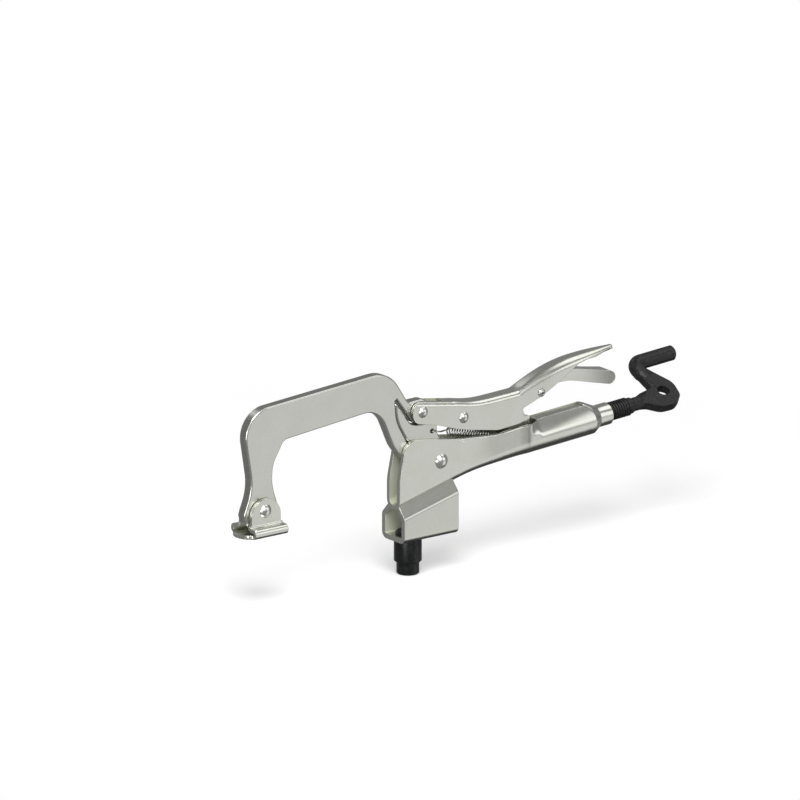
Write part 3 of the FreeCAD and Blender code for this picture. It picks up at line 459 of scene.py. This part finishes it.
# direction of each panel round the clamp, how near to it its edge starts and ends, and its tone
PANELS = [
    # mirrored by the bends under the near sides
    ((0.50, 0.15, -0.86), 0.84, 0.93, "#2E2E2E"),
    # by the upright near sides
    ((0.62, -0.65, -0.45), 0.90, 0.965, "#ACACAC"),
    # by near sides that lean up a little, and by the shoulders above them
    ((0.60, -0.74, 0.28), 0.94, 0.975, "#D8D8D8"),
    ((0.52, -0.10, 0.85), 0.94, 0.96, "#E0E0E0"),
    # by crowns that lean up and towards the jaw
    ((-0.02, 0.765, 0.648), 0.985, 0.995, "#FFFFFF"),
    # by faces of the near side that turn up and towards the jaw
    ((-0.25, -0.80, 0.54), 0.84, 0.95, "#D8D8D8"),
]


def white_floor():
    """Floor under the post, which only the camera sees: white paper with the clamp's soft shadow."""
    clear_selection()
    bpy.ops.mesh.primitive_plane_add(size=40.0, location=(0, 0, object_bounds()[0][2] - 0.1 * MM))
    floor = bpy.context.view_layer.objects.active
    floor.name = "floor"
    material = new_material("white_paper_floor")
    place = add_node(material, "ShaderNodeTexCoord").outputs["Object"]
    paper = add_node(material, "ShaderNodeBsdfDiffuse", {"Color": "#E6E6E6"})
    glow = add_node(material, "ShaderNodeEmission", {"Strength": FLOOR_GLOW})
    lit = add_node(material, "ShaderNodeAddShader", {0: paper, 1: glow})
    plain = add_node(material, "ShaderNodeEmission", {"Strength": 1.0})
    away = add_node(material, "ShaderNodeVectorMath", {"operation": "LENGTH", 0: place})
    far = add_node(material, "ShaderNodeMapRange",
                   {"Value": away.outputs["Value"], "From Min": FADE_START, "From Max": FADE_END})
    seen = add_node(material, "ShaderNodeMixShader", {0: far, 1: lit, 2: plain})
    clear = add_node(material, "ShaderNodeBsdfTransparent")
    ray = add_node(material, "ShaderNodeLightPath").outputs
    straight = add_node(material, "ShaderNodeMath",
                        {"operation": "MAXIMUM", 0: ray["Is Camera Ray"], 1: ray["Is Transmission Ray"]})
    both = add_node(material, "ShaderNodeMixShader", {0: straight, 1: clear, 2: seen})
    add_node(material, "ShaderNodeOutputMaterial", {"Surface": both})
    floor.data.materials.append(material)


def sky():
    """Surroundings that only the metal sees: a grey room with panels. The camera sees plain white."""
    world = bpy.data.worlds.new("studio")
    bpy.context.scene.world = world
    world.use_nodes = True
    world.node_tree.nodes.clear()
    direction = add_node(world, "ShaderNodeTexCoord").outputs["Generated"]
    tone = ROOM
    for centre, start, end, panel in PANELS:
        nearness = add_node(world, "ShaderNodeVectorMath",
                            {"operation": "DOT_PRODUCT", 0: direction, 1: Vector(centre).normalized()})
        inside = add_node(world, "ShaderNodeMapRange",
                          {"Value": nearness.outputs["Value"], "From Min": start, "From Max": end})
        tone = add_node(world, "ShaderNodeMix",
                        {"data_type": "RGBA", 0: inside, 6: tone, 7: panel}).outputs[2]
    light = add_node(world, "ShaderNodeBackground", {"Color": tone, "Strength": WORLD_STRENGTH})
    white = add_node(world, "ShaderNodeBackground", {"Color": "#FFFFFF", "Strength": 1.0})
    ray = add_node(world, "ShaderNodeLightPath").outputs
    both = add_node(world, "ShaderNodeMixShader", {0: ray["Is Camera Ray"], 1: light, 2: white})
    add_node(world, "ShaderNodeOutputWorld", {"Surface": both})


def soft_light(name, spot, target, side, power):
    """Square lamp that shines from a spot at a target."""
    clear_selection()
    bpy.ops.object.light_add(type="AREA", location=spot)
    lamp = bpy.context.view_layer.objects.active
    lamp.name = name
    lamp.data.size = side
    lamp.data.energy = power
    lamp.rotation_euler = (Vector(target) - Vector(spot)).to_track_quat("-Z", "Y").to_euler()


# The photograph's view: turned 37.1 degrees to the left, 16.3 degrees from above, from far away
TURN, RISE = math.radians(37.1), math.radians(16.3)
MIDDLE = Vector((-5.6, 0.0, 83.0)) * MM
LENS, SENSOR = 1500.0, 36.0
PIXELS, PIXELS_PER_METRE = 800, 1754.0


def photo_camera():
    """Long lens, so far away that the photograph's scale comes out at its middle."""
    away = Vector((-math.sin(TURN) * math.cos(RISE), -math.cos(TURN) * math.cos(RISE), math.sin(RISE)))
    distance = LENS / SENSOR * PIXELS / PIXELS_PER_METRE
    clear_selection()
    bpy.ops.object.camera_add(location=MIDDLE + away * distance)
    camera = bpy.context.view_layer.objects.active
    camera.rotation_euler = (-away).to_track_quat("-Z", "Y").to_euler()
    camera.data.lens = LENS
    camera.data.sensor_width = SENSOR
    camera.data.clip_end = 100.0
    bpy.context.scene.camera = camera


white_floor()
sky()
soft_light("key_light", (-0.42, -0.46, 1.04), (0.0, 0.0, 0.04), 0.6, 9.0)
soft_light("low_fill", (-0.75, -0.45, 0.10), (0.0, 0.0, 0.03), 0.3, 2.0)
photo_camera()
bpy.context.scene.view_settings.view_transform = "Standard"
